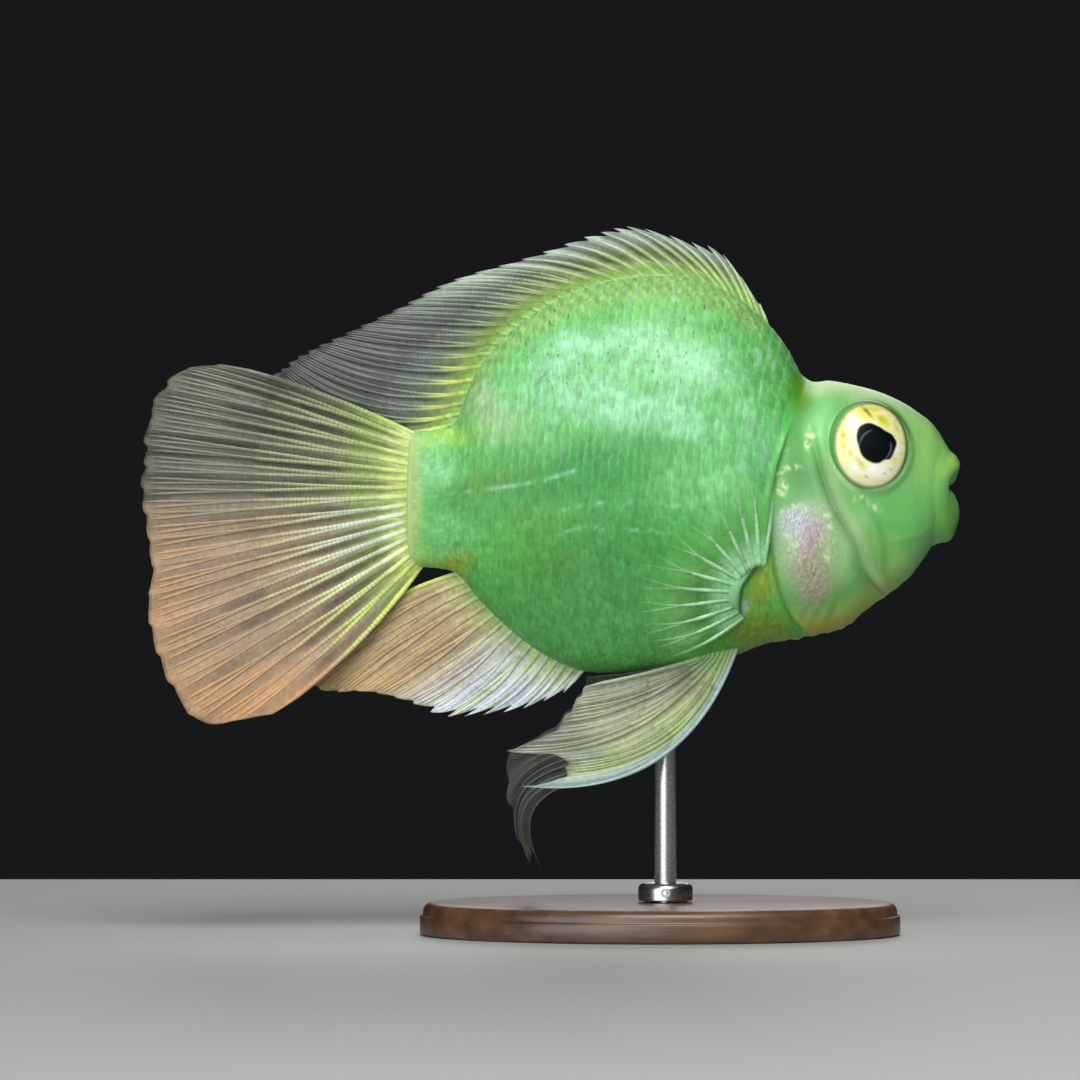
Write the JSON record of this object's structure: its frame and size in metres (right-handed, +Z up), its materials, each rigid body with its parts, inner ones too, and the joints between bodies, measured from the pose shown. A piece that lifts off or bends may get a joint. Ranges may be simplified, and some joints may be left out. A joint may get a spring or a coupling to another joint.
{
  "type": "blood parrot cichlid on a display stand",
  "caption": "Life-size green-dyed blood parrot cichlid in a level swimming pose, with spread fins, held by one rod on an oval base.",
  "frame": {"origin": "centre of the stand base's flat underside, on the surface it rests on", "axes": "+X along the fish towards its snout, +Z up, so the fish's right side faces -Y"},
  "size_m": [0.1501, 0.06, 0.1297],
  "materials": {
    "flesh": "moist fish skin, dyed green, satin to wet sheen",
    "eye": "clear wet cornea over a cream and yellow iris",
    "fin_olive": "thin translucent membrane, yellow olive at the foot and grey at the edge",
    "fin_pale": "thin translucent membrane with pale rays",
    "fin_buff": "thin translucent membrane, olive grey above and tan below",
    "fin_green": "thin clear membrane tinted green, with pale rays",
    "walnut": "oiled dark walnut, turned edge",
    "steel": "brushed"
  },
  "bodies": {
    "root": {"head": "flesh", "trunk": "flesh", "caudal_peduncle": "flesh", "eye_right": "eye", "eye_left": "eye", "dorsal_fin": "fin_olive", "anal_fin": "fin_pale", "caudal_fin": "fin_buff", "pectoral_fin_right": "fin_green", "pectoral_fin_left": "fin_green", "pelvic_fin_right": "fin_pale", "pelvic_fin_left": "fin_pale", "stand_base": "walnut", "stand_collar": "steel", "stand_rod": "steel"}
  },
  "joints": []
}
